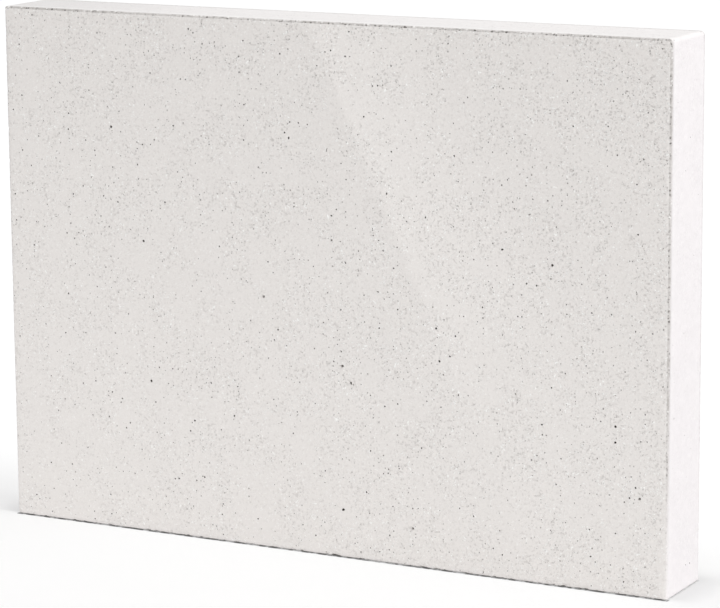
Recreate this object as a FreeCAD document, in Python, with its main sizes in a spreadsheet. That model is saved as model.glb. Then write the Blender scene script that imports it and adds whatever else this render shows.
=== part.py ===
# A refractory firebrick of slab form, pressed and fired in one piece, standing on its long narrow bed.
#
# X runs along the brick's length, Y through its thickness from the front face to the back face, and Z up its height.
# The origin is the centre of the bed, the long narrow face that the brick stands on.
# The slab comes out of its mould as a plain block. Its upper edge at the right end is worn rounder than the others,
# and one small rounding runs along every other edge.

import FreeCAD
import Part
import Sketcher

import math
import os
import sys

# Driving dimensions in millimetres: name, value, what it measures.
DRIVING_SIZES = [
    ("brick_length", 229.0, "long side of the slab, 9 inches, a standard firebrick length"),
    ("brick_height", 166.0, "short side of the slab, upright as it stands"),
    ("brick_thickness", 25.0, "between the two large faces"),
    ("eased_radius", 1.5, "rounding of the upper edge at the right end, the most worn one"),
    ("arris_radius", 0.8, "rounding of every other edge"),
]
PARTS_FOLDER = "parts"
SAME_PLACE = 1e-6
SMOOTH_JOIN = math.radians(1)


def make_sheet(doc):
    """The spreadsheet that holds the driving dimensions, one row each."""
    sheet = doc.addObject("Spreadsheet::Sheet", "sizes")
    for row, (name, value, meaning) in enumerate(DRIVING_SIZES, start=1):
        sheet.set(f"A{row}", name)
        sheet.set(f"B{row}", str(value))
        sheet.set(f"C{row}", meaning)
        sheet.setAlias(f"B{row}", name)
    doc.recompute()
    return sheet


def origin_plane(body, role):
    """One of the body's own origin planes."""
    return next(f for f in body.Origin.OriginFeatures if f.Role == role)


def draw_outline(body, sheet):
    """The slab's outline, seen square to its large face: a rectangle that stands on the middle of its bed."""
    sketch = body.newObject("Sketcher::SketchObject", "slab_outline")
    sketch.AttachmentSupport = [(origin_plane(body, "XZ_Plane"), "")]
    sketch.MapMode = "FlatFace"

    half_length = sheet.brick_length / 2
    height = sheet.brick_height
    corners = [
        FreeCAD.Vector(-half_length, 0, 0),
        FreeCAD.Vector(half_length, 0, 0),
        FreeCAD.Vector(half_length, height, 0),
        FreeCAD.Vector(-half_length, height, 0),
    ]
    sides = []
    for number, corner in enumerate(corners):
        following = corners[(number + 1) % len(corners)]
        sides.append(sketch.addGeometry(Part.LineSegment(corner, following), False))
    bed_side, right_side, top_side, left_side = sides

    start, end = 1, 2
    for number, side in enumerate(sides):
        following = sides[(number + 1) % len(sides)]
        sketch.addConstraint(Sketcher.Constraint("Coincident", side, end, following, start))
    for side in (right_side, left_side):
        sketch.addConstraint(Sketcher.Constraint("Vertical", side))
    sketch.addConstraint(Sketcher.Constraint("Horizontal", top_side))

    # The bed lies on the horizontal axis, with its two ends mirrored about the vertical one.
    horizontal_axis, vertical_axis = -1, -2
    sketch.addConstraint(Sketcher.Constraint("PointOnObject", bed_side, start, horizontal_axis))
    sketch.addConstraint(Sketcher.Constraint("Symmetric", bed_side, start, bed_side, end, vertical_axis))

    for kind, size, side, value in (
        ("DistanceX", "brick_length", bed_side, 2 * half_length),
        ("DistanceY", "brick_height", right_side, height),
    ):
        index = sketch.addConstraint(Sketcher.Constraint(kind, side, start, side, end, value))
        sketch.renameConstraint(index, size)
        sketch.setExpression(f"Constraints.{size}", f"sizes.{size}")
    return sketch


def press_slab(body, sketch):
    """The slab, pressed to its thickness equally to both sides of the outline's plane."""
    slab = body.newObject("PartDesign::Pad", "slab")
    slab.Profile = sketch
    slab.SideType = "Symmetric"
    slab.setExpression("Length", "sizes.brick_thickness")
    return slab


def ease_worn_edge(body, slab, sheet):
    """The rounder wear of the upper edge at the right end, from the front face to the back face."""
    right_end = sheet.brick_length / 2
    top = sheet.brick_height
    worn = [
        f"Edge{number}"
        for number, edge in enumerate(slab.Shape.Edges, start=1)
        if all(abs(v.Point.x - right_end) < SAME_PLACE and abs(v.Point.z - top) < SAME_PLACE for v in edge.Vertexes)
    ]
    eased = body.newObject("PartDesign::Fillet", "eased_edge")
    eased.Base = (slab, worn)
    eased.setExpression("Radius", "sizes.eased_radius")
    return eased


def sharp_edges(shape):
    """The names of the edges where two faces meet at an angle."""
    names = []
    for number, edge in enumerate(shape.Edges, start=1):
        middle = edge.valueAt((edge.FirstParameter + edge.LastParameter) / 2)
        one, other = [
            face.normalAt(*face.Surface.parameter(middle)) for face in shape.ancestorsOfType(edge, Part.Face)
        ]
        if one.getAngle(other) > SMOOTH_JOIN:
            names.append(f"Edge{number}")
    return names


def round_arrises(body, eased):
    """The small rounding of every edge that is still sharp."""
    arrises = body.newObject("PartDesign::Fillet", "arrises")
    arrises.Base = (eased, sharp_edges(eased.Shape))
    arrises.setExpression("Radius", "sizes.arris_radius")
    return arrises


def make_firebrick(doc, sheet):
    """The whole brick, one fired piece."""
    body = doc.addObject("PartDesign::Body", "firebrick")
    body.Label = "firebrick"
    outline = draw_outline(body, sheet)
    doc.recompute()
    slab = press_slab(body, outline)
    doc.recompute()
    eased = ease_worn_edge(body, slab, sheet)
    doc.recompute()
    body.Tip = round_arrises(body, eased)
    doc.recompute()
    return body


def check_model(doc, pieces):
    """Stops before anything is written if a feature failed or a piece isn't one valid solid."""
    failed = [o.Name for o in doc.Objects if {"Invalid", "Error"} & set(o.State)]
    if failed:
        sys.exit(f"features that failed: {failed}")
    for piece in pieces:
        shape = piece.Shape
        if shape.isNull() or not shape.isValid() or len(shape.Solids) != 1:
            sys.exit(f"{piece.Label} is not one valid solid")


def write_pieces(pieces):
    """Each piece's STEP file, named after the piece."""
    os.makedirs(PARTS_FOLDER, exist_ok=True)
    for piece in pieces:
        piece.Shape.exportStep(os.path.join(PARTS_FOLDER, f"{piece.Label}.step"))
        box = piece.Shape.BoundBox
        print(
            f"{piece.Label}: {box.XLength:.2f} x {box.YLength:.2f} x {box.ZLength:.2f} mm,"
            f" {piece.Shape.Volume / 1000:.1f} cubic centimetres"
        )


def main():
    doc = FreeCAD.newDocument("refractory_firebrick")
    sheet = make_sheet(doc)
    pieces = [make_firebrick(doc, sheet)]
    check_model(doc, pieces)
    write_pieces(pieces)


main()
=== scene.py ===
import math
import random

import bmesh
import bpy
from bpy.props import FloatProperty, FloatVectorProperty, IntProperty, PointerProperty
from mathutils import Matrix, Vector, noise


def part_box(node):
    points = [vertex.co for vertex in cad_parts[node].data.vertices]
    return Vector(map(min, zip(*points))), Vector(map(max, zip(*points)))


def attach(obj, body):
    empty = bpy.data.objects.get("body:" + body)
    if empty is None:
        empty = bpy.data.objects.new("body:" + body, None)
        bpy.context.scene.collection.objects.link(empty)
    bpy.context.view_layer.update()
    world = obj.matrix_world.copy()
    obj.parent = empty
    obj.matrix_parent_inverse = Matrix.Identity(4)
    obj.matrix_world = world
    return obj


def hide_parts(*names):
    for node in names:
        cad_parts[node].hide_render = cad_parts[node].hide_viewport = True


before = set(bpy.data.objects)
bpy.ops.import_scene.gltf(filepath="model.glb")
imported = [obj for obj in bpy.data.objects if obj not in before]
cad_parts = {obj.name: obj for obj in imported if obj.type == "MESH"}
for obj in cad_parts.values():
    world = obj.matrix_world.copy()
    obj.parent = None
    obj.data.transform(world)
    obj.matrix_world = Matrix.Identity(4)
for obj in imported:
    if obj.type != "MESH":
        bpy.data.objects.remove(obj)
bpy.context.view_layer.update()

bl_info = {
    "name": "Refractory Firebrick",
    "version": (1, 0, 0),
    "blender": (4, 5, 0),
    "location": "3D View > Sidebar > Firebrick",
    "description": "A pressed and fired slab of pale clay with pinholes, sand grain and crumbled arrises",
    "category": "Object",
}

MM = 0.001
NODE = "firebrick"
BODY = "root"
BRICK_LOW, BRICK_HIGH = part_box(NODE)
BRICK_SIZE = BRICK_HIGH - BRICK_LOW
BRICK_MIDDLE = (BRICK_LOW + BRICK_HIGH) / 2

# The photograph's frame: its width and the focal length of its camera, in pixels.
PHOTO_WIDTH = 720
PHOTO_FOCAL = 3269

# The pinholes and the faint dents that stand out on the front face in the photograph.
# Each is its place along X, its height above the bed and its radius, in millimetres.
DARK_PINHOLES = (
    (6.5, 15.0, 0.49),
    (-75.5, 129.5, 0.48),
    (77.5, 97.5, 0.43),
    (97.5, 51.5, 0.43),
    (-62.0, 49.5, 0.45),
    (9.5, 55.5, 0.40),
    (-64.5, 93.5, 0.42),
    (97.5, 46.5, 0.39),
    (-12.0, 130.5, 0.39),
    (39.5, 65.0, 0.38),
    (60.5, 101.5, 0.37),
    (39.0, 75.5, 0.36),
    (22.0, 115.0, 0.36),
)
FAINT_DENTS = (
    (6.5, 61.0, 0.51),
    (105.0, 30.5, 0.46),
    (31.0, 12.0, 0.46),
    (-21.5, 80.5, 0.46),
)
# How dark a dent is, with a pinhole as 1.
DENT_SHADE = 0.28

# The edges: the segments of the two roundings, and what counts as along an axis, as one place, as still on a
# rounding, as a sharp edge and as turned all the way to a narrow face.
EASED_SEGMENTS = 6
ARRIS_SEGMENTS = 4
NEARLY_ALONG = 0.9
SAME_PLACE = 0.01 * MM
RIM_SLACK = 0.05 * MM
SHARP_ANGLE = math.radians(60)
NARROW_FACE_TURN = math.radians(89)

# The right end's arrises are clean at the bed, and grimiest above this share of the brick's height.
CLEAN_FOOT = 0.35

# Each pinhole is a cup sunk into one inset cell. It is stretched one way, its mouth is uneven, and it goes
# down in steps, each so much narrower than the one before and so many mouth radii deep.
INSET_SHARE = 0.35
CUP_STRETCH = 0.25
MOUTH_UNEVENNESS = (0.8, 1.15)
CUP_STEPS = ((0.85, 0.9), (0.45, 0.7))
# The room that a placed pinhole keeps, in radii, and the share of its cell's spare room that a scattered one
# may move in.
PLACED_ROOM = 1.4
SCATTER_ROOM = 0.7
# Small pinholes are commoner than large ones: an even draw is raised to this power.
SMALL_PINHOLE_BIAS = 2.3

# Spans in millimetres of the faces' swell and ripple and of the arrises' wear, and how those waves add up.
SWELL_SPAN = 45
RIPPLE_SPAN = 4.0
FINE_RIPPLE_SPAN = 1.9
WEAR_SPAN = 11
WEAR_OFFSET = Vector((3, 5, 9))
NIBBLE_SPAN = 1.3
FINE_NIBBLE_SPAN = 0.6
FINE_WAVE = 0.35
NIBBLE_START = 0.12
NIBBLE_DEPTH = 2.2
LEAST_WEAR = 0.15
ARRIS_START = 0.05

# Per-vertex values that the finish reads: in a pinhole, on an arris, facing as the large faces do, facing
# down, facing up, grimy with painted shade at the left and back, and rubbed pale.
PORE = "pore"
ARRIS = "arris"
STRUCK = "struck"
UNDER = "under"
UPWARD = "upward"
GRIME_WITH_SHADE = "grime"
RUBBED = "rubbed"
VERTEX_VALUES = (PORE, ARRIS, STRUCK, UNDER, UPWARD, GRIME_WITH_SHADE, RUBBED)

# Scattered specks: how finely their outlines wobble, the smallest and faintest one as shares of the fullest,
# how many radii their pale rims reach, and between which values of the wobble a rim breaks off.
SPECK_WOBBLE = 0.8
SMALLEST_SPECK = 0.35
FAINTEST_SPECK = 0.3
RIM_REACH = 2.0
CHIPPED_RIM = (0.48, 0.6)
FINE_SPECKS = {"spacing": 0.95 * MM, "radius": 0.30 * MM, "softness": 0.55}
MIDDLING_SPECKS = {"spacing": 1.7 * MM, "radius": 0.36 * MM, "softness": 0.5}
ARRIS_DOTS = {"spacing": 0.8 * MM, "radius": 0.48 * MM, "softness": 0.3, "share": 0.65}
ARRIS_CHIPS = {"spacing": 1.1 * MM, "radius": 0.5 * MM, "softness": 0.3, "share": 0.6}

# The grain: its roughness, the second grain's place in the noise, how far from a half that one starts a pit
# or a crumb, and how much further it makes them full.
GRAIN_ROUGHNESS = 0.6
SECOND_GRAIN = (0.5, 0.3, 0.7)
RARE_GRAIN = 0.10
PIT_EDGE = 0.05

# The worn arrises and their painted shade. Each pair is where a value of the mesh, or a noise, takes a mark
# from none to full.
ARRIS_PATCH_SPAN = 9 * MM
ARRIS_PATCH_EDGES = (0.38, 0.62)
ARRIS_CRUMB_SPAN = 0.9 * MM
ARRIS_ROUGHNESS = 0.65
FACEWARDS = (0.12, 0.3)
GRIME_AND_SHADE_LINE = (0.2, 0.6)
GRIME_AND_SHADE_BESIDE = 0.5
GRIME_AND_SHADE_BREAK_UP = 0.38
CHIP_LINE = (0.02, 0.2)
CHIP_ASIDE = (0.2, 0.4, 0.1)

# How sandy the clay is: in patches, from the left end to the right, from bed to top, and more in grime and
# painted arris shade.
PATCH_EDGES = (0.38, 0.58)
SMOOTHEST_PATCH = 0.4
SANDIER_ALONG = (0.83, 1.13)
SANDIER_UP = (0.88, 1.12)
SANDIER_IN_GRIME_AND_SHADE = 0.5

# The clay's tone, the stretch at the left where the top has painted shade, and the roughness that follows
# the grain.
NOISE_RANGE = (0.3, 0.7)
MOTTLE_SPAN = 16 * MM
MOTTLE_TONES = (0.995, 1.005)
SMEAR_SPAN = 2.4 * MM
TOP_SHADE_STRETCH = (BRICK_LOW.x + 10 * MM, BRICK_LOW.x + 75 * MM)
CLAY_ROUGHNESS = (0.86, 0.96)
# How far each mark stands out of the clay, or lies in it, as a share of the relief's depth.
RELIEF = {"grain": 0.5, "fine": -0.6, "middling": -1.0, "pits": -0.6, "pale": 0.5, "arris": 0.6}

# The painted seam shadow between bed and floor: how it breaks up, then its place on the brick and on the
# floor.
SEAM_BREAKS = 2.2 * MM
SEAM_BREAK_EDGES = (0.38, 0.56)
SEAM_FAINTEST = 0.5
SEAM_TURN = (0.6, 0.9)
SEAM_FACEWARDS = 0.2
SEAM_AT_ENDS = 0.1
SEAM_WIDTH = 0.7 * MM
SEAM_FRONT = (BRICK_LOW.y + 2 * MM, BRICK_LOW.y + 0.5 * MM)
SEAM_ELSEWHERE = 0.34

# The painted soft shade on the floor. Its front edge slants and widens off the right end, and it is weaker
# behind.
SHADE_SLANT = 0.8
SHADE_WIDENING = 1.5
SHADE_EDGE = 2.5 * MM
BACK_STRETCH = (BRICK_HIGH.y - 2 * MM, BRICK_HIGH.y + 12 * MM)
BACK_SHADE = 0.3
LEE_PLACE = 15 * MM
LEE_RADIUS = 38 * MM
LEE_SHADE = 0.5

# The floor's lift: where it grows behind the brick, far off, and before and along the front face, where it
# is painted light over the brick's shade. Lit floor and lift add up to the floor's white.
LIFT_BEHIND = 80 * MM
LIFT_FAR = (150 * MM, 500 * MM)
LIFT_BEFORE = (BRICK_LOW.y - 95 * MM, BRICK_LOW.y)
LIFT_LEFT = (BRICK_LOW.x - 40 * MM, BRICK_LOW.x + 70 * MM)
LIFT_RIGHT = (BRICK_HIGH.x - 10 * MM, BRICK_HIGH.x + 10 * MM)
FLOOR_WHITE = 1.03

# The lamps: the key's direction and width, the softbox's place and side, and the beam's throw, cone and
# strength at the left and the right of the front face.
KEY_FROM = Vector((1.0, -0.25, 0.15))
KEY_WIDTH = math.radians(35)
SOFTBOX_PLACE = Vector((0.35, 0.0, 0.8))
SOFTBOX_SIDE = 0.5
BEAM_THROW = 2.0
BEAM_CONE = math.radians(14)
BEAM_LEFT_TO_RIGHT = (0.97, 0.68)
# The streak in the beam, from the front face's middle: how far it leans left for each length up, where its
# crisp edge is, how wide its two edges are, and between which heights it grows from faint to full.
STREAK_LEAN = 0.47
STREAK_EDGE = 32.8 * MM
STREAK_CRISP = 3 * MM
STREAK_SOFT = 60 * MM
STREAK_GROWTH = (-45 * MM, 35 * MM)
STREAK_FAINTEST = 0.15


def display_colour(red, green, blue):
    """A colour as read off a screen, from 0 to 255, as the linear values that Blender works in."""
    def linear(value):
        value /= 255
        return value / 12.92 if value <= 0.04045 else ((value + 0.055) / 1.055) ** 2.4
    return linear(red), linear(green), linear(blue)


def length(name, description, value):
    """A property that holds a length in metres."""
    return FloatProperty(
        name=name, description=description, default=value, min=0.0,
        subtype="DISTANCE", unit="LENGTH", precision=5,
    )


def offset(name, description, value):
    """A property that holds a distance in metres to either side."""
    return FloatProperty(
        name=name, description=description, default=value,
        subtype="DISTANCE", unit="LENGTH", precision=5,
    )


def angle(name, description, degrees):
    """A property that holds an angle."""
    return FloatProperty(name=name, description=description, default=math.radians(degrees), subtype="ANGLE")


def colour(name, description, display):
    """A property that holds a colour."""
    return FloatVectorProperty(
        name=name, description=description, default=display_colour(*display),
        min=0.0, max=1.0, size=3, subtype="COLOR",
    )


def level(name, description, value, highest=10.0):
    """A property that holds a plain amount."""
    return FloatProperty(name=name, description=description, default=value, min=0.0, max=highest)


def count(name, description, value):
    """A property that holds a whole number."""
    return IntProperty(name=name, description=description, default=value, min=0)


class FirebrickShape(bpy.types.PropertyGroup):
    """Sizes of the brick's edges, relief and pinholes."""

    eased_radius: length("Eased radius", "Rounding of the worn upper edge at the right end", 1.5 * MM)
    arris_radius: length("Arris radius", "Rounding of every other edge", 0.8 * MM)
    cell: length("Cell", "Width of one cell of the surface mesh", 1.6 * MM)
    rim_cell: length("Rim cell", "Longest mesh edge along the arrises", 0.5 * MM)
    swell: length("Swell", "How far the pressed faces rise and fall over their length", 0.06 * MM)
    ripple: length("Ripple", "Depth of the small unevenness of the pressed faces", 0.025 * MM)
    crumble: length("Crumble", "How deep the arrises are nibbled", 0.45 * MM)
    worn_margin: length("Worn margin", "How far an arris's wear reaches over the faces beside it", 4.0 * MM)
    top_grime: level("Top grime", "Grime in the arrises along the top", 1.0, 1.0)
    right_grime: level("Right grime", "Grime in the arrises of the right end, up from the bed", 1.0, 1.0)
    # Grime along the left end's arrises, deepened as painted shade.
    left_grime_and_shade: level("Left grime and shade", "Grime in the arrises of the left end, up from the bed", 0.5, 1.0)
    # Painted shade: a grey band on the narrow faces along the back edges, as wide as the two bands below.
    back_edge_shade: level("Back edge shade", "Grime on the narrow faces beside the back arrises", 1.0, 1.0)
    end_band: length("End band", "Width of that grime on the two ends", 1.2 * MM)
    top_band: length("Top band", "Width of that grime on the top and the bed", 3.2 * MM)
    end_rub: level("End rub", "How much of the top's pale rubbed margin the two ends have", 0.2, 1.0)
    face_pinholes: count("Face pinholes", "Scattered pinholes in each large face", 700)
    bed_pinholes: count("Bed pinholes", "Scattered pinholes in each long narrow face", 26)
    end_pinholes: count("End pinholes", "Scattered pinholes in each short narrow face", 18)
    pinhole_smallest: length("Smallest pinhole", "Radius of the smallest scattered pinhole", 0.13 * MM)
    pinhole_largest: length("Largest pinhole", "Radius of the largest scattered pinhole", 0.29 * MM)
    seed: count("Seed", "Starts the random draws", 7)


class FirebrickFinish(bpy.types.PropertyGroup):
    """Colours of the fired clay and strengths of its marks."""

    face_clay: colour("Face clay", "Fired clay of the two large faces", (234, 230, 227))
    side_clay: colour("Side clay", "Smoother, paler clay of the two ends and the bed", (240, 236, 237))
    # Painted light: the top and other up-facing surfaces get this paler clay.
    lit_top_clay: colour("Lit top clay", "Warmer clay of the top", (244, 241, 240))
    dark_grain: colour("Dark grain", "Small dark grains and pores", (120, 112, 104))
    light_grain: colour("Light grain", "Small pale grains", (255, 254, 252))
    # Also the colour of the painted contact shadow under the bed arrises.
    pore_shade: colour("Pore shade", "Inside of the open pinholes", (80, 75, 70))
    # Also the colour of the painted shade along the left and back edges.
    arris_shade: colour("Arris shade", "Grime along the worn arrises", (158, 153, 148))
    grain_size: length("Grain size", "Spacing of the finest grain", 0.75 * MM)
    patch_size: length("Patch size", "Spacing of the rougher and smoother patches", 8 * MM)
    grain_contrast: level("Grain contrast", "How far the grain lightens and darkens the clay", 0.23)
    pit_strength: level("Pit strength", "How dark the small uneven pits are", 0.15, 1.0)
    crumb_strength: level("Crumb strength", "How pale the small crumbs are", 1.0, 1.0)
    fine_share: level("Fine share", "Share of the fine specks' places that hold one", 0.28, 1.0)
    fine_strength: level("Fine strength", "How dark the fine specks are", 0.6, 1.0)
    middling_share: level("Middling share", "Share of the middling specks' places that hold one", 0.40, 1.0)
    middling_strength: level("Middling strength", "How dark the middling specks are", 0.9, 1.0)
    side_grain: level("Side grain", "How much of the large faces' grain the narrow faces have", 0.42, 1.0)
    side_smear: level("Side smear", "Strength of the soft blotches on the narrow faces", 0.10, 1.0)
    # Painted shade darkening the top towards its left end.
    top_left_shade: level("Top left shade", "How much duller the top is at its left end", 0.085, 1.0)
    # The line of grime along an arris, with its painted shade along the left and back edges.
    dust_and_shade_strength: level("Dust strength", "How strong the line of grime along an arris is", 0.62, 1.0)
    dot_strength: level("Dot strength", "How dark the dots in that line are", 0.9, 1.0)
    chip_strength: level("Chip strength", "How pale the chips and the rubbed margins are", 0.75, 1.0)
    bump_strength: level("Bump strength", "How strongly the light shows the grain's relief", 0.8, 1.0)
    bump_depth: length("Bump depth", "Depth of the grain's relief", 0.2 * MM)
    sheen: level("Sheen", "Strength of the clay's faint sheen", 0.25, 1.0)


class FirebrickStage(bpy.types.PropertyGroup):
    """Floor, light and camera."""

    floor_side: length("Floor side", "Side of the square floor", 8.0)
    floor_clay: colour("Floor", "Pale floor", (236, 236, 236))
    floor_lift: level("Floor lift", "Light that the floor shows the camera besides what falls on it", 0.26)
    # Painted light on the floor close before the brick, over its shade there.
    front_lift: level("Front lift", "More of that light on the floor close before the brick", 0.38)
    # Painted shade on the floor beside and behind the brick.
    contact_shade: level("Contact shade", "Darkening of the floor beside and behind the brick", 0.15, 1.0)
    contact_reach: length("Contact reach", "How far the darkening of the floor reaches", 14 * MM)
    # Painted shadow on the floor along the seam round the bed.
    seam_shade: level("Seam shade", "How dark the seam between the bed and the floor is", 0.85, 1.0)
    fill: level("Fill", "Even light from all round", 0.72)
    front_fill: level("Front fill", "More of that light from the front", 0.24)
    key: level("Key", "Strength of the low soft light from the right", 1.01)
    top_watts: level("Top lamp", "Power of the softbox overhead, in watts", 1.08)
    beam_watts: level("Beam", "Power of the patterned lamp in front, in watts", 14.5, 100.0)
    beam_streak: level("Streak", "Strength of the slanting streak in the beam", 0.55)
    azimuth: angle("Azimuth", "Camera's turn round the brick, from the front face to the right", 28.17)
    elevation: angle("Elevation", "Camera's height above the horizon", 11.0)
    roll: angle("Roll", "Camera's turn about its own line of sight", -0.42)
    distance: length("Distance", "From the camera to the brick's middle", 1.0104)
    aim_right: offset("Aim right", "How far right of the brick's middle the camera aims", 5.46 * MM)
    aim_up: offset("Aim up", "How far above the brick's middle the camera aims", -5.68 * MM)


def depths(point):
    """How deep a point lies inside the brick's box along X, Y and Z."""
    return [BRICK_SIZE[axis] / 2 - abs(point[axis] - BRICK_MIDDLE[axis]) for axis in range(3)]


def direction(edge):
    return (edge.verts[1].co - edge.verts[0].co).normalized()


def cut_block(bm, cell):
    """A box the size of the brick, cut into cells about as wide as the cell size."""
    bmesh.ops.create_cube(bm, size=1.0)
    bmesh.ops.scale(bm, vec=BRICK_SIZE, verts=bm.verts[:])
    bmesh.ops.translate(bm, vec=BRICK_MIDDLE, verts=bm.verts[:])
    for axis in range(3):
        along = [e for e in bm.edges if abs(direction(e)[axis]) > NEARLY_ALONG]
        cuts = int(BRICK_SIZE[axis] / cell) - 1
        bmesh.ops.subdivide_edges(bm, edges=along, cuts=cuts, use_grid_fill=True)


def round_edges(bm, edges, radius, segments):
    """Rounds edges with a quarter circle."""
    bmesh.ops.bevel(
        bm, geom=edges, offset=radius, offset_type="OFFSET", segments=segments, profile=0.5,
        affect="EDGES", clamp_overlap=True, material=-1,
    )


def round_block(bm, shape):
    """The worn upper edge at the right end, then the small rounding of every edge that is still sharp."""
    def on_worn_edge(vert):
        return max(BRICK_HIGH.x - vert.co.x, BRICK_HIGH.z - vert.co.z) < SAME_PLACE

    worn = [e for e in bm.edges if all(map(on_worn_edge, e.verts))]
    round_edges(bm, worn, shape.eased_radius, EASED_SEGMENTS)
    sharp = [e for e in bm.edges if e.calc_face_angle(0) > SHARP_ANGLE]
    round_edges(bm, sharp, shape.arris_radius, ARRIS_SEGMENTS)


def refine_rim(bm, shape):
    """Shorter cells along the edges of the large faces, where the crumbled arris needs them."""
    def on_rim(vert):
        across, inwards, above = depths(vert.co)
        return max(inwards, min(across, above)) < shape.arris_radius + RIM_SLACK

    long_edges = [e for e in bm.edges if e.calc_length() > shape.rim_cell and all(map(on_rim, e.verts))]
    cuts = math.ceil(shape.cell / shape.rim_cell) - 1
    bmesh.ops.subdivide_edges(bm, edges=long_edges, cuts=cuts, use_grid_fill=True)


def arris_grime_and_shade(place, shape):
    """How much grime the nearest arris holds: most along the top, less down the two ends near the bed; at
    the left end it is partly painted shade.
    """
    above_bed = (place.z - BRICK_LOW.z) / BRICK_SIZE.z
    arrises = (
        (BRICK_HIGH.z - place.z, shape.top_grime),
        (BRICK_HIGH.x - place.x, shape.right_grime * min(above_bed / CLEAN_FOOT, 1)),
        (place.x - BRICK_LOW.x, shape.left_grime_and_shade * above_bed),
        (place.z - BRICK_LOW.z, 0.0),
    )
    away, grime = min(arrises)
    return grime * min(max((shape.worn_margin - away) / (shape.worn_margin - shape.arris_radius), 0), 1)


def surface_marks(place, normal, shape):
    """What the finish reads at one place: how near an arris it is, which way it turns and how worn it is."""
    turned = math.atan2(math.hypot(normal.x, normal.z), abs(normal.y))
    marks = {
        ARRIS: math.sin(2 * turned),
        STRUCK: 1 - turned / (math.pi / 2),
        UNDER: max(-normal.z, 0),
        UPWARD: max(normal.z, 0),
    }
    if turned <= NARROW_FACE_TURN:
        marks[GRIME_WITH_SHADE] = arris_grime_and_shade(place, shape)
        return marks
    on_end = abs(normal.x) > abs(normal.z)
    # A band of painted shade along the back edges of the narrow faces.
    if BRICK_HIGH.y - place.y < (shape.end_band if on_end else shape.top_band):
        marks[GRIME_WITH_SHADE] = shape.back_edge_shade
    rubbed = max(1 - (place.y - BRICK_LOW.y - shape.arris_radius) / shape.worn_margin, 0)
    marks[RUBBED] = rubbed * (shape.end_rub if on_end else 1)
    return marks


def mark_surface(bm, shape):
    """Writes on each vertex the values that the finish reads."""
    layers = {name: bm.verts.layers.float.new(name) for name in VERTEX_VALUES}
    bm.normal_update()
    for vert in bm.verts:
        for name, value in surface_marks(vert.co, vert.normal, shape).items():
            vert[layers[name]] = value


def clear_cells(bm, shape):
    """The cells clear of the brick's edges, by the axis that they face along and whether they face up it."""
    margin = shape.eased_radius + shape.cell / 2
    sides = {}
    for face in bm.faces:
        axis = max(range(3), key=lambda i: abs(face.normal[i]))
        across = [depth for i, depth in enumerate(depths(face.calc_center_median())) if i != axis]
        if len(face.verts) == 4 and min(across) > margin:
            sides.setdefault((axis, face.normal[axis] > 0), []).append(face)
    return sides


def place_standouts(front, shape):
    """The pinholes and dents that stand out in the photograph, each in the front face's nearest cell."""
    plan = []
    standouts = [(*pinhole, 1.0) for pinhole in DARK_PINHOLES]
    standouts += [(*dent, DENT_SHADE) for dent in FAINT_DENTS]
    for x, z, radius, shade in standouts:
        place = Vector((x * MM, BRICK_LOW.y, z * MM))
        cell = min(front, key=lambda face: (face.calc_center_median() - place).length)
        front.remove(cell)
        aside = place - cell.calc_center_median()
        spare = shape.cell / 2 - PLACED_ROOM * radius * MM
        aside *= min(spare / max(abs(aside.x), abs(aside.z), spare), 1)
        plan.append((cell, aside, radius * MM, shade))
    return plan


def scatter_pinholes(sides, shape, draw):
    """A random spread of pinholes over each side."""
    plan = []
    wanted = {0: shape.end_pinholes, 1: shape.face_pinholes, 2: shape.bed_pinholes}
    spare = SCATTER_ROOM * (shape.cell / 2 - shape.pinhole_largest)
    for (axis, _), cells in sorted(sides.items()):
        for cell in draw.sample(cells, wanted[axis]):
            aside = Vector([draw.uniform(-spare, spare) if other != axis else 0 for other in range(3)])
            radius = shape.pinhole_smallest
            radius += (shape.pinhole_largest - shape.pinhole_smallest) * draw.random() ** SMALL_PINHOLE_BIAS
            plan.append((cell, aside, radius, 1.0))
    return plan


def open_mouth(face, aside, radius, draw):
    """Turns an inset cell into a pinhole's uneven round mouth."""
    side = face.normal.orthogonal().normalized()
    other = face.normal.cross(side)
    centre = face.calc_center_median() + aside
    stretch = draw.uniform(1 - CUP_STRETCH, 1 + CUP_STRETCH)
    turn = draw.uniform(0, math.pi)
    for vert in face.verts:
        spoke = vert.co - face.calc_center_median()
        bearing = math.atan2(spoke.dot(other), spoke.dot(side))
        reach = radius * draw.uniform(*MOUTH_UNEVENNESS)
        reach *= 1 + (stretch - 1) * math.cos(2 * (bearing - turn))
        vert.co = centre + (side * math.cos(bearing) + other * math.sin(bearing)) * reach
    for edge in face.edges:
        edge.smooth = False


def sink_pinholes(bm, shape, draw):
    """Open pinholes: each a small uneven cup sunk into one cell."""
    pore = bm.verts.layers.float[PORE]
    bm.faces.ensure_lookup_table()
    bm.faces.index_update()
    sides = clear_cells(bm, shape)
    front = sides[1, False]
    plan = place_standouts(front, shape) + scatter_pinholes(sides, shape, draw)
    cells = [cell for cell, *_ in plan]
    bmesh.ops.inset_individual(bm, faces=cells, thickness=INSET_SHARE * shape.cell, use_even_offset=True)
    rims = list(dict.fromkeys(e for f in cells for e in f.edges))
    bmesh.ops.subdivide_edges(bm, edges=rims, cuts=1)
    cups = []
    for face, aside, radius, shade in plan:
        normal = face.normal.copy()
        open_mouth(face, aside, radius, draw)
        cups.append((face, normal, radius, shade))
    for narrowing, deepening in CUP_STEPS:
        made = bmesh.ops.extrude_discrete_faces(bm, faces=[cup[0] for cup in cups])["faces"]
        cups = [(face, *cup[1:]) for face, cup in zip(made, cups)]
        for face, normal, radius, shade in cups:
            centre = face.calc_center_median()
            for vert in face.verts:
                vert.co = centre + (vert.co - centre) * narrowing - normal * radius * deepening
                vert[pore] = shade


def wave(place):
    """A smooth random wave between about 0 and 1."""
    return 0.5 + 0.5 * noise.noise(place)


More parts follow.
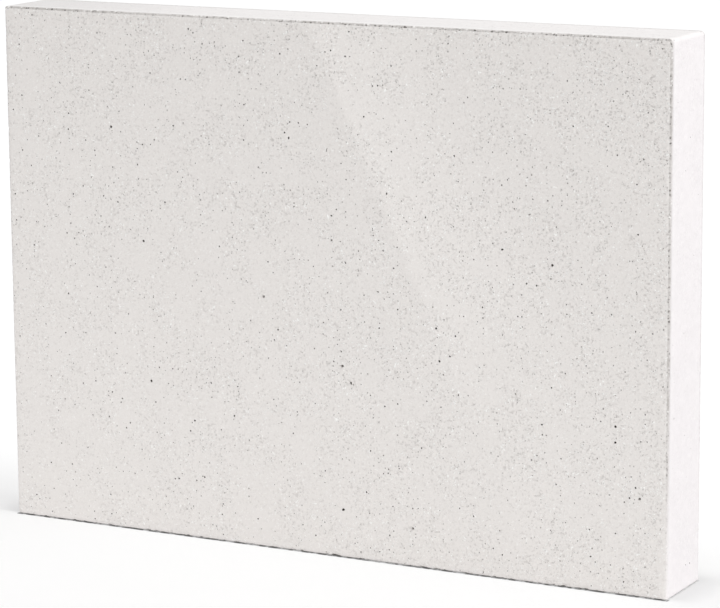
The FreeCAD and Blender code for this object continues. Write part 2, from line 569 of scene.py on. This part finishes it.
def arris_wear(place):
    """How far an arris has crumbled: a little everywhere, and more where nibbles are taken out."""
    nibble = noise.noise(place / NIBBLE_SPAN) + FINE_WAVE * noise.noise(place / FINE_NIBBLE_SPAN)
    return LEAST_WEAR + wave(place / WEAR_SPAN + WEAR_OFFSET) * max(nibble - NIBBLE_START, 0) * NIBBLE_DEPTH


def weather(bm, shape):
    """Moves the surface inwards: a slow swell, a small ripple, and the wear of the arrises."""
    arris = bm.verts.layers.float[ARRIS]
    bm.normal_update()
    moved = []
    for vert in bm.verts:
        place = vert.co / MM
        depth = shape.swell * wave(place / SWELL_SPAN)
        fine_ripple = FINE_WAVE * noise.noise(place / FINE_RIPPLE_SPAN)
        depth += shape.ripple * (wave(place / RIPPLE_SPAN) + fine_ripple)
        if vert[arris] > ARRIS_START:
            depth += shape.crumble * vert[arris] * arris_wear(place)
        moved.append((vert, vert.co - vert.normal * max(depth, 0)))
    for vert, place in moved:
        vert.co = place


def press_brick(shape):
    """The brick as one closed mesh."""
    draw = random.Random(shape.seed)
    bm = bmesh.new()
    cut_block(bm, shape.cell)
    round_block(bm, shape)
    refine_rim(bm, shape)
    mark_surface(bm, shape)
    sink_pinholes(bm, shape, draw)
    weather(bm, shape)
    bmesh.ops.triangulate(bm, faces=[f for f in bm.faces if len(f.verts) > 4])
    for face in bm.faces:
        face.smooth = True
    mesh = bpy.data.meshes.new("firebrick_slab")
    bm.to_mesh(mesh)
    bm.free()
    return mesh


class Tree:
    """Short ways to place and join the nodes of a shader tree."""

    def __init__(self, tree):
        self.tree = tree

    def add(self, kind, **settings):
        node = self.tree.nodes.new(kind)
        for name, value in settings.items():
            setattr(node, name, value)
        return node

    def feed(self, socket, value):
        """Joins an output to a socket, or sets the socket's own value."""
        if isinstance(value, bpy.types.NodeSocket):
            self.tree.links.new(value, socket)
        else:
            socket.default_value = value

    def math(self, operation, *values):
        node = self.add("ShaderNodeMath", operation=operation)
        for socket, value in zip(node.inputs, values):
            self.feed(socket, value)
        return node.outputs[0]

    def times(self, product, *factors):
        for factor in factors:
            product = self.math("MULTIPLY", product, factor)
        return product

    def inverse(self, value):
        """1 less the value."""
        return self.math("SUBTRACT", 1.0, value)

    def centred(self, value):
        """A value from 0 to 1, as how far it is above or below a half."""
        return self.math("SUBTRACT", value, 0.5)

    def from_lowest(self, lowest, value):
        """Maps a value from 0 to 1 to between the lowest and 1."""
        return self.math("MULTIPLY_ADD", value, 1 - lowest, lowest)

    def vector(self, operation, *values, output="Vector"):
        node = self.add("ShaderNodeVectorMath", operation=operation)
        for socket, value in zip(node.inputs, values):
            self.feed(socket, value)
        return node.outputs[output]

    def scale(self, vector, factor):
        node = self.add("ShaderNodeVectorMath", operation="SCALE")
        self.feed(node.inputs["Vector"], vector)
        self.feed(node.inputs["Scale"], factor)
        return node.outputs["Vector"]

    def split(self, vector):
        """A vector's parts, named X, Y and Z."""
        node = self.add("ShaderNodeSeparateXYZ")
        self.feed(node.inputs["Vector"], vector)
        return node.outputs

    def ramp(self, value, start, end, low=0.0, high=1.0, smooth=True):
        """Maps start..end to low..high and holds the ends."""
        node = self.add("ShaderNodeMapRange", interpolation_type="SMOOTHSTEP" if smooth else "LINEAR")
        settings = {"Value": value, "From Min": start, "From Max": end, "To Min": low, "To Max": high}
        for name, given in settings.items():
            self.feed(node.inputs[name], given)
        return node.outputs["Result"]

    def mix(self, factor, first, second):
        node = self.add("ShaderNodeMix", data_type="RGBA")
        sockets = [s for s in node.inputs if s.type == "RGBA"]
        self.feed(node.inputs["Factor"], factor)
        self.feed(sockets[0], first)
        self.feed(sockets[1], second)
        return next(s for s in node.outputs if s.type == "RGBA")

    def noise(self, vector, spacing, detail=2.0, roughness=0.5):
        node = self.add("ShaderNodeTexNoise", noise_dimensions="3D")
        self.feed(node.inputs["Vector"], vector)
        self.feed(node.inputs["Scale"], self.math("DIVIDE", 1.0, spacing))
        node.inputs["Detail"].default_value = detail
        node.inputs["Roughness"].default_value = roughness
        return node.outputs["Fac"]

    def attribute(self, name):
        """One of the mesh's own per-vertex values."""
        return self.add("ShaderNodeAttribute", attribute_name=name).outputs["Fac"]

    def group(self, group, **values):
        """Places a node group, with its inputs given by name."""
        node = self.add("ShaderNodeGroup", node_tree=group)
        for name, value in values.items():
            self.feed(node.inputs[name.replace("_", " ").capitalize()], value)
        return node.outputs


def cleared_tree(owner):
    """The shader tree of a material, lamp or world, emptied."""
    owner.use_nodes = True
    owner.node_tree.nodes.clear()
    return Tree(owner.node_tree)


def new_group(name, inputs, outputs):
    """An empty shader node group that takes a vector and values, and puts out values."""
    tree = bpy.data.node_groups.new(name, "ShaderNodeTree")
    tree.interface.new_socket("Vector", in_out="INPUT", socket_type="NodeSocketVector")
    for socket, value in inputs.items():
        made = tree.interface.new_socket(socket, in_out="INPUT", socket_type="NodeSocketFloat")
        made.default_value = value
    for socket in outputs:
        tree.interface.new_socket(socket, in_out="OUTPUT", socket_type="NodeSocketFloat")
    kit = Tree(tree)
    return kit, kit.add("NodeGroupInput").outputs, kit.add("NodeGroupOutput").inputs


def specks_group():
    """Scattered specks: spots of uneven size, shape and tone, with broken pale rims."""
    kit, given, result = new_group(
        "Scattered specks",
        {"Spacing": 1.0 * MM, "Radius": 0.2 * MM, "Share": 0.5, "Softness": 0.5},
        ("Mask", "Rim"),
    )
    wobble = kit.add("ShaderNodeTexNoise", noise_dimensions="3D")
    kit.feed(wobble.inputs["Vector"], given["Vector"])
    kit.feed(wobble.inputs["Scale"], kit.math("DIVIDE", SPECK_WOBBLE, given["Radius"]))
    wobble.inputs["Detail"].default_value = 1.0
    pushed = kit.vector("SUBTRACT", wobble.outputs["Color"], (0.5, 0.5, 0.5))
    pushed = kit.vector("MULTIPLY_ADD", pushed, given["Radius"], given["Vector"])
    cloud = kit.add("ShaderNodeTexVoronoi", voronoi_dimensions="3D", feature="F1")
    kit.feed(cloud.inputs["Vector"], pushed)
    kit.feed(cloud.inputs["Scale"], kit.math("DIVIDE", 1.0, given["Spacing"]))
    distance = cloud.outputs["Distance"]
    chance = kit.add("ShaderNodeSeparateColor")
    kit.feed(chance.inputs["Color"], cloud.outputs["Color"])
    present = kit.math("LESS_THAN", chance.outputs["Red"], given["Share"])
    radius = kit.times(given["Radius"], kit.from_lowest(SMALLEST_SPECK, chance.outputs["Green"]))
    radius = kit.math("DIVIDE", radius, given["Spacing"])
    spot = kit.ramp(distance, radius, kit.times(radius, kit.inverse(given["Softness"])))
    tone = kit.times(present, kit.from_lowest(FAINTEST_SPECK, chance.outputs["Blue"]))
    kit.feed(result["Mask"], kit.times(spot, tone))
    ring = kit.times(kit.ramp(distance, kit.times(radius, RIM_REACH), radius), kit.inverse(spot))
    chipped = kit.ramp(wobble.outputs["Fac"], *CHIPPED_RIM)
    kit.feed(result["Rim"], kit.times(ring, chipped, tone))
    return kit.tree


def grain_group():
    """Clay grain: even fine grain, pits where a second grain is lowest and crumbs where it is highest."""
    kit, given, result = new_group(
        "Clay grain",
        {"Spacing": 0.8 * MM, "Rare": 0.12},
        ("Grain", "Pits", "Crumbs"),
    )
    kit.feed(result["Grain"], kit.noise(given["Vector"], given["Spacing"], roughness=GRAIN_ROUGHNESS))
    second = kit.vector("ADD", given["Vector"], SECOND_GRAIN)
    lumps = kit.centred(kit.noise(second, given["Spacing"], detail=3, roughness=GRAIN_ROUGHNESS))
    full = kit.math("ADD", given["Rare"], PIT_EDGE)
    kit.feed(result["Pits"], kit.ramp(kit.times(lumps, -1.0), given["Rare"], full))
    kit.feed(result["Crumbs"], kit.ramp(lumps, given["Rare"], full))
    return kit.tree


def arris_wear_and_shade_group(specks):
    """Arris wear and shade: an uneven line of grime and painted shade, with dark dots in it, a rubbed pale
    margin and pale chips.
    """
    kit, given, result = new_group(
        "Arris wear and shade",
        {"Arris": 0.0, "Turned": 0.0, "Grime": 0.0, "Rubbed": 0.0, "Break up": 0.5},
        ("Dust and shade", "Dots", "Pale", "Height"),
    )
    place = given["Vector"]
    crumbs = kit.noise(place, ARRIS_CRUMB_SPAN, detail=3, roughness=ARRIS_ROUGHNESS)
    worn = kit.math("ADD", kit.noise(place, ARRIS_PATCH_SPAN), kit.centred(crumbs))
    unworn = kit.inverse(kit.ramp(worn, *ARRIS_PATCH_EDGES))
    uneven = kit.inverse(kit.times(given["Break up"], unworn))
    facewards = kit.ramp(given["Turned"], *FACEWARDS)
    narrow = kit.inverse(facewards)
    grime_and_shade = kit.times(kit.ramp(given["Arris"], *GRIME_AND_SHADE_LINE), facewards, given["Grime"])
    beside = kit.times(narrow, given["Grime"], GRIME_AND_SHADE_BESIDE)
    kit.feed(result["Dust and shade"], kit.times(kit.math("ADD", grime_and_shade, beside), uneven))
    dots = kit.group(specks, vector=place, **ARRIS_DOTS)["Mask"]
    kit.feed(result["Dots"], kit.times(grime_and_shade, dots))
    chips = kit.group(specks, vector=kit.vector("ADD", place, CHIP_ASIDE), **ARRIS_CHIPS)["Mask"]
    chips = kit.times(chips, given["Grime"], kit.ramp(given["Arris"], *CHIP_LINE))
    kit.feed(result["Pale"], kit.math("MAXIMUM", kit.times(narrow, given["Rubbed"], uneven), chips))
    kit.feed(result["Height"], kit.times(given["Arris"], crumbs))
    return kit.tree


def opaque(rgb):
    """A colour property as the four values that a colour socket takes."""
    return (*rgb, 1.0)


def broken_line(kit, place):
    """How strongly the painted seam shadow shows: in full in some places, and less in others."""
    return kit.ramp(kit.noise(place, SEAM_BREAKS, detail=3), *SEAM_BREAK_EDGES, SEAM_FAINTEST, 1.0)


def clay_roughness(kit, finish, place, marks):
    """How sandy the clay is: most on the large faces, in patches, towards the upper right and in grime and
    painted arris shade.
    """
    by_side = kit.ramp(marks[STRUCK], 0.0, 1.0, finish.side_grain, 1.0, smooth=False)
    patches = kit.ramp(kit.noise(place, finish.patch_size), *PATCH_EDGES, SMOOTHEST_PATCH, 1.0)
    parts = kit.split(place)
    along = kit.ramp(parts["X"], BRICK_LOW.x, BRICK_HIGH.x, *SANDIER_ALONG, smooth=False)
    up = kit.ramp(parts["Z"], BRICK_LOW.z, BRICK_HIGH.z, *SANDIER_UP, smooth=False)
    grime_and_shade = kit.times(marks[STRUCK], marks[GRIME_WITH_SHADE], SANDIER_IN_GRIME_AND_SHADE)
    return kit.math("ADD", kit.times(along, up, patches, by_side), grime_and_shade)


def plain_clay(kit, finish, place, marks, rough, grain):
    """The clay's colour on each side, paler facing up as painted light, varied with its grain, and with
    painted shade at the top's left end.
    """
    # Up-facing clay is paler: painted light on the top.
    narrow_clay = kit.mix(marks[UPWARD], opaque(finish.side_clay), opaque(finish.lit_top_clay))
    clay = kit.mix(marks[STRUCK], narrow_clay, opaque(finish.face_clay))
    mottle = kit.ramp(kit.noise(place, MOTTLE_SPAN, detail=3), *NOISE_RANGE, *MOTTLE_TONES, smooth=False)
    smear = kit.centred(kit.noise(place, SMEAR_SPAN))
    smear = kit.times(smear, finish.side_smear, kit.inverse(marks[STRUCK]))
    swing = kit.times(kit.centred(grain), kit.times(rough, finish.grain_contrast))
    # Painted shade at the left end of the top.
    painted_top_shade = kit.ramp(kit.split(place)["X"], *TOP_SHADE_STRETCH, finish.top_left_shade, 0.0)
    painted_top_shade = kit.inverse(kit.times(marks[UPWARD], painted_top_shade))
    tone = kit.times(mottle, kit.math("ADD", 1.0, kit.math("ADD", swing, smear)), painted_top_shade)
    return kit.scale(clay, tone)


def sand_marks(kit, finish, place, rough, specks, grain):
    """Where the clay has its small marks: fine and middling specks, pits, and pale crumbs and rims."""
    fine_share = kit.times(rough, finish.fine_share)
    fine = kit.group(specks, vector=place, share=fine_share, **FINE_SPECKS)
    middling_share = kit.times(rough, finish.middling_share)
    middling = kit.group(specks, vector=place, share=middling_share, **MIDDLING_SPECKS)
    crumbs = kit.times(grain["Crumbs"], rough, finish.crumb_strength)
    return {
        "fine": fine["Mask"],
        "middling": middling["Mask"],
        "pits": kit.times(grain["Pits"], rough),
        "pale": kit.math("MAXIMUM", crumbs, kit.math("MAXIMUM", fine["Rim"], middling["Rim"])),
    }


def painted_bed_shadow(kit, place, marks):
    """Painted contact shadow: a dark line under the lower arris of the large faces, which is faint at the
    two ends.
    """
    turned_under = kit.ramp(marks[UNDER], *SEAM_TURN)
    facewards = kit.ramp(marks[STRUCK], 0.0, SEAM_FACEWARDS, SEAM_AT_ENDS, 1.0)
    return kit.times(turned_under, facewards, broken_line(kit, place))


def fired_clay(finish):
    """Pale fired clay: mottled, sandy, with dark pores, pale crumbs and dusty arrises, and some painted
    light and shade.
    """
    material = bpy.data.materials.new("fired_clay")
    kit = cleared_tree(material)
    place = kit.add("ShaderNodeTexCoord").outputs["Object"]
    marks = {name: kit.attribute(name) for name in VERTEX_VALUES}
    specks = specks_group()
    rough = clay_roughness(kit, finish, place, marks)
    grain = kit.group(grain_group(), vector=place, spacing=finish.grain_size, rare=RARE_GRAIN)
    sand = sand_marks(kit, finish, place, rough, specks, grain)
    edge = kit.group(
        arris_wear_and_shade_group(specks), vector=place, arris=marks[ARRIS], turned=marks[STRUCK],
        grime=marks[GRIME_WITH_SHADE], rubbed=marks[RUBBED], break_up=GRIME_AND_SHADE_BREAK_UP,
    )

    surface = plain_clay(kit, finish, place, marks, rough, grain["Grain"])
    for mask, strength, shade in (
        (sand["pale"], 1.0, finish.light_grain),
        (sand["pits"], finish.pit_strength, finish.dark_grain),
        (sand["fine"], finish.fine_strength, finish.dark_grain),
        (sand["middling"], finish.middling_strength, finish.dark_grain),
        # Grime along the arrises, with painted shade along the left and back edges.
        (edge["Dust and shade"], finish.dust_and_shade_strength, finish.arris_shade),
        (edge["Dots"], finish.dot_strength, finish.pore_shade),
        (edge["Pale"], finish.chip_strength, finish.light_grain),
        # Painted contact shadow along the bed arrises.
        (painted_bed_shadow(kit, place, marks), 1.0, finish.pore_shade),
        (marks[PORE], 1.0, finish.pore_shade),
    ):
        surface = kit.mix(kit.times(mask, strength), surface, opaque(shade))

    heights = {"grain": grain["Grain"], **sand, "arris": edge["Height"]}
    relief = 0.0
    for name, share in RELIEF.items():
        relief = kit.math("ADD", relief, kit.times(heights[name], share))
    bump = kit.add("ShaderNodeBump")
    bump.inputs["Strength"].default_value = finish.bump_strength
    bump.inputs["Distance"].default_value = finish.bump_depth
    kit.feed(bump.inputs["Height"], relief)

    clay = kit.add("ShaderNodeBsdfPrincipled")
    kit.feed(clay.inputs["Base Color"], surface)
    kit.feed(clay.inputs["Roughness"], kit.ramp(grain["Grain"], *NOISE_RANGE, *CLAY_ROUGHNESS, smooth=False))
    kit.feed(clay.inputs["Normal"], bump.outputs["Normal"])
    clay.inputs["Specular IOR Level"].default_value = finish.sheen
    kit.feed(kit.add("ShaderNodeOutputMaterial").inputs["Surface"], clay.outputs[0])
    return material


def seen_by_viewer(kit):
    """1 for what the camera sees directly, in a reflection or through glass."""
    path = kit.add("ShaderNodeLightPath").outputs
    direct = kit.math("MAXIMUM", path["Is Camera Ray"], path["Is Glossy Ray"])
    return kit.math("MAXIMUM", direct, path["Is Transmission Ray"])


def soft_shade(kit, stage, parts, away):
    """The soft darkening of the floor beside and behind the brick."""
    beyond = kit.math("MAXIMUM", kit.math("SUBTRACT", parts["X"], BRICK_HIGH.x), 0.0)
    slanted = kit.math("MULTIPLY_ADD", beyond, SHADE_SLANT, parts["Y"])
    full = kit.math("MULTIPLY_ADD", beyond, SHADE_WIDENING, BRICK_LOW.y + SHADE_EDGE)
    behind_front = kit.ramp(slanted, BRICK_LOW.y, full)
    before_back = kit.ramp(parts["Y"], *BACK_STRETCH, 1.0, BACK_SHADE)
    soft = kit.ramp(away, 0.0, stage.contact_reach, stage.contact_shade, 0.0)
    return kit.times(soft, behind_front, before_back)


def painted_floor_seam_shadow(kit, stage, place, parts, away):
    """The painted shadow in the seam on the floor round the bed, darkest along the front."""
    front_side = kit.ramp(parts["Y"], *SEAM_FRONT, SEAM_ELSEWHERE, 1.0)
    line = kit.ramp(away, 0.0, SEAM_WIDTH, stage.seam_shade, 0.0)
    return kit.times(line, front_side, broken_line(kit, place))


def lee_shade(kit, stage, place):
    """The faint round shade on the floor off the right end."""
    middle = (BRICK_HIGH.x + LEE_PLACE, 0.0, 0.0)
    from_middle = kit.vector("DISTANCE", place, middle, output="Value")
    return kit.ramp(from_middle, 0.0, LEE_RADIUS, LEE_SHADE * stage.contact_shade, 0.0)


def floor_glow(kit, stage, parts, away):
    """The floor's lift: in full behind the brick and far off, and a part of it before the front face as
    painted light.
    """
    behind = kit.ramp(parts["Y"], 0.0, LIFT_BEHIND, stage.floor_lift, 1.0)
    far = kit.ramp(away, *LIFT_FAR, stage.floor_lift, 1.0)
    # Painted light close before the front face.
    before = kit.times(kit.ramp(parts["Y"], *LIFT_BEFORE), kit.ramp(parts["Y"], BRICK_LOW.y, 0.0, 1.0, 0.0))
    between = kit.times(kit.ramp(parts["X"], *LIFT_LEFT), kit.ramp(parts["X"], *LIFT_RIGHT, 1.0, 0.0))
    near = kit.times(before, between)
    front = kit.math("MULTIPLY_ADD", near, stage.front_lift, stage.floor_lift)
    return kit.math("MAXIMUM", kit.math("MAXIMUM", behind, far), front)


def viewer_mix(kit, others, viewer):
    """Shows the viewer one shader, and lights the rest of the scene with another."""
    choice = kit.add("ShaderNodeMixShader")
    for socket, value in zip(choice.inputs, (seen_by_viewer(kit), others.outputs[0], viewer.outputs[0])):
        kit.feed(socket, value)
    return choice.outputs[0]


def floor_material(stage):
    """A pale floor that keeps the brick's shadow, adds painted shade round its foot, and otherwise reads as
    white.
    """
    material = bpy.data.materials.new("pale_floor")
    kit = cleared_tree(material)
    place = kit.add("ShaderNodeTexCoord").outputs["Object"]
    parts = kit.split(place)
    half_plan = (BRICK_SIZE.x / 2, BRICK_SIZE.y / 2, 1.0)
    outside = kit.vector("SUBTRACT", kit.vector("ABSOLUTE", place), half_plan)
    away = kit.vector("LENGTH", kit.vector("MAXIMUM", outside, (0.0, 0.0, 0.0)), output="Value")
    seam = painted_floor_seam_shadow(kit, stage, place, parts, away)
    shade = kit.math("MAXIMUM", soft_shade(kit, stage, parts, away), seam)
    kept = kit.inverse(kit.math("ADD", shade, lee_shade(kit, stage, place)))
    lift = floor_glow(kit, stage, parts, away)
    true_floor = kit.add("ShaderNodeBsdfDiffuse")
    true_floor.inputs["Color"].default_value = opaque(stage.floor_clay)
    muted_floor = kit.add("ShaderNodeBsdfDiffuse")
    kit.feed(muted_floor.inputs["Color"], kit.times(kit.math("SUBTRACT", FLOOR_WHITE, lift), kept))
    glow = kit.add("ShaderNodeEmission")
    kit.feed(glow.inputs["Strength"], kit.times(lift, kept))
    lifted = kit.add("ShaderNodeAddShader")
    kit.feed(lifted.inputs[0], muted_floor.outputs[0])
    kit.feed(lifted.inputs[1], glow.outputs[0])
    kit.feed(kit.add("ShaderNodeOutputMaterial").inputs["Surface"], viewer_mix(kit, true_floor, lifted))
    return material


def lay_floor(stage):
    """The floor, level with the brick's bed."""
    bm = bmesh.new()
    bmesh.ops.create_grid(bm, x_segments=1, y_segments=1, size=stage.floor_side / 2)
    bmesh.ops.translate(bm, vec=(0, 0, BRICK_LOW.z), verts=bm.verts[:])
    mesh = bpy.data.meshes.new("studio_floor")
    bm.to_mesh(mesh)
    bm.free()
    mesh.materials.append(floor_material(stage))
    floor = bpy.data.objects.new("studio_floor", mesh)
    bpy.context.scene.collection.objects.link(floor)


def place_lamp(name, kind, place, aim, **settings):
    """A lamp at a place, turned to shine on another."""
    lamp = bpy.data.lights.new(name, kind)
    for setting, value in settings.items():
        setattr(lamp, setting, value)
    holder = bpy.data.objects.new(name, lamp)
    turn = (place - aim).to_track_quat("Z", "Y").to_matrix().to_4x4()
    holder.matrix_world = Matrix.Translation(place) @ turn
    bpy.context.scene.collection.objects.link(holder)
    return lamp


def studio_world(stage):
    """A white world that gives even light, with more of it from the front."""
    world = bpy.data.worlds.new("studio")
    kit = cleared_tree(world)
    direction = kit.add("ShaderNodeTexCoord").outputs["Generated"]
    facing = kit.vector("DOT_PRODUCT", direction, (0.0, -1.0, 0.0), output="Value")
    from_front = kit.math("MAXIMUM", facing, 0.0)
    fill = kit.add("ShaderNodeBackground")
    kit.feed(fill.inputs["Strength"], kit.math("MULTIPLY_ADD", from_front, stage.front_fill, stage.fill))
    white = kit.add("ShaderNodeBackground")
    for node in (fill, white):
        node.inputs["Color"].default_value = (1.0, 1.0, 1.0, 1.0)
    kit.feed(kit.add("ShaderNodeOutputWorld").inputs["Surface"], viewer_mix(kit, fill, white))
    return world


def pattern_beam(lamp, stage):
    """The beam's pattern, laid out over the front face: brighter towards the bed, with a slanting streak."""
    kit = cleared_tree(lamp)
    ray = kit.split(kit.add("ShaderNodeTexCoord").outputs["Normal"])
    spread = kit.math("DIVIDE", -BEAM_THROW, ray["Z"])
    across = kit.times(ray["X"], spread)
    up = kit.times(ray["Y"], spread)
    half_length, half_height = BRICK_SIZE.x / 2, BRICK_SIZE.z / 2
    rise = kit.ramp(up, half_height, -half_height, smooth=False)
    rise = kit.times(rise, kit.ramp(across, -half_length, half_length, *BEAM_LEFT_TO_RIGHT, smooth=False))
    past_edge = kit.math("SUBTRACT", kit.math("ADD", across, kit.times(up, STREAK_LEAN)), STREAK_EDGE)
    crisp_side = kit.ramp(past_edge, 0.0, STREAK_CRISP)
    soft_side = kit.ramp(past_edge, 0.0, STREAK_SOFT, 1.0, 0.0)
    lower_end = kit.ramp(up, *STREAK_GROWTH, STREAK_FAINTEST, 1.0)
    streak = kit.times(crisp_side, soft_side, lower_end)
    glow = kit.add("ShaderNodeEmission")
    kit.feed(glow.inputs["Strength"], kit.math("MULTIPLY_ADD", streak, stage.beam_streak, rise))
    kit.feed(kit.add("ShaderNodeOutputLight").inputs["Surface"], glow.outputs[0])


def light_stage(stage):
    """Soft light from all round, a low key from the right, a softbox overhead and a weak patterned beam."""
    bpy.context.scene.world = studio_world(stage)
    aim = BRICK_MIDDLE
    place_lamp("key", "SUN", aim + KEY_FROM, aim, energy=stage.key, angle=KEY_WIDTH)
    place_lamp("top_softbox", "AREA", SOFTBOX_PLACE, aim, energy=stage.top_watts, size=SOFTBOX_SIDE)
    front = Vector((aim.x, BRICK_LOW.y, aim.z))
    before = front - Vector((0, BEAM_THROW, 0))
    beam = place_lamp(
        "front_beam", "SPOT", before, front,
        energy=stage.beam_watts, spot_size=BEAM_CONE, shadow_soft_size=0.0,
    )
    pattern_beam(beam, stage)


def place_camera(stage):
    """The camera at the photograph's place, with the photograph's field of view."""
    around, above, roll = stage.azimuth, stage.elevation, stage.roll
    back = Vector((math.sin(around) * math.cos(above), -math.cos(around) * math.cos(above), math.sin(above)))
    level_right = (-back).cross(Vector((0, 0, 1))).normalized()
    level_up = level_right.cross(-back)
    right = level_right * math.cos(roll) + level_up * math.sin(roll)
    up = level_up * math.cos(roll) - level_right * math.sin(roll)
    camera_place = BRICK_MIDDLE + back * stage.distance + right * stage.aim_right + up * stage.aim_up
    lens = bpy.data.cameras.new("photo_camera")
    lens.lens = lens.sensor_width * PHOTO_FOCAL / PHOTO_WIDTH
    lens.clip_start = 10 * MM
    camera = bpy.data.objects.new("photo_camera", lens)
    turn = Matrix((right, up, back)).transposed().to_4x4()
    camera.matrix_world = Matrix.Translation(camera_place) @ turn
    bpy.context.scene.collection.objects.link(camera)
    bpy.context.scene.camera = camera


class FIREBRICK_OT_press(bpy.types.Operator):
    """Press and fire the brick as one closed piece"""

    bl_idname = "firebrick.press"
    bl_label = "Press the Firebrick"

    def execute(self, context):
        mesh = press_brick(context.scene.firebrick_shape)
        if not mesh.polygons:
            raise RuntimeError("the brick came out empty")
        mesh.materials.append(fired_clay(context.scene.firebrick_finish))
        brick = bpy.data.objects.new("firebrick_slab", mesh)
        context.scene.collection.objects.link(brick)
        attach(brick, BODY)
        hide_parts(NODE)
        return {"FINISHED"}


class FIREBRICK_OT_stage(bpy.types.Operator):
    """Lay the floor, set the light and place the camera"""

    bl_idname = "firebrick.stage"
    bl_label = "Set the Stage"

    def execute(self, context):
        stage = context.scene.firebrick_stage
        lay_floor(stage)
        light_stage(stage)
        place_camera(stage)
        context.scene.view_settings.view_transform = "Standard"
        return {"FINISHED"}


class FIREBRICK_PT_panel(bpy.types.Panel):
    """Lists the brick's sizes, colours and stage with the buttons that make them"""

    bl_idname = "FIREBRICK_PT_panel"
    bl_label = "Firebrick"
    bl_space_type = "VIEW_3D"
    bl_region_type = "UI"
    bl_category = "Firebrick"

    def draw(self, context):
        scene = context.scene
        for settings, operator in (
            (scene.firebrick_shape, None),
            (scene.firebrick_finish, FIREBRICK_OT_press),
            (scene.firebrick_stage, FIREBRICK_OT_stage),
        ):
            box = self.layout.box()
            for name in settings.__annotations__:
                box.prop(settings, name)
            if operator:
                box.operator(operator.bl_idname)


CLASSES = (
    FirebrickShape,
    FirebrickFinish,
    FirebrickStage,
    FIREBRICK_OT_press,
    FIREBRICK_OT_stage,
    FIREBRICK_PT_panel,
)


def register():
    for cls in CLASSES:
        bpy.utils.register_class(cls)
    bpy.types.Scene.firebrick_shape = PointerProperty(type=FirebrickShape)
    bpy.types.Scene.firebrick_finish = PointerProperty(type=FirebrickFinish)
    bpy.types.Scene.firebrick_stage = PointerProperty(type=FirebrickStage)


def unregister():
    del bpy.types.Scene.firebrick_stage
    del bpy.types.Scene.firebrick_finish
    del bpy.types.Scene.firebrick_shape
    for cls in reversed(CLASSES):
        bpy.utils.unregister_class(cls)


def main():
    register()
    bpy.ops.firebrick.press()
    bpy.ops.firebrick.stage()


if __name__ == "__main__":
    main()
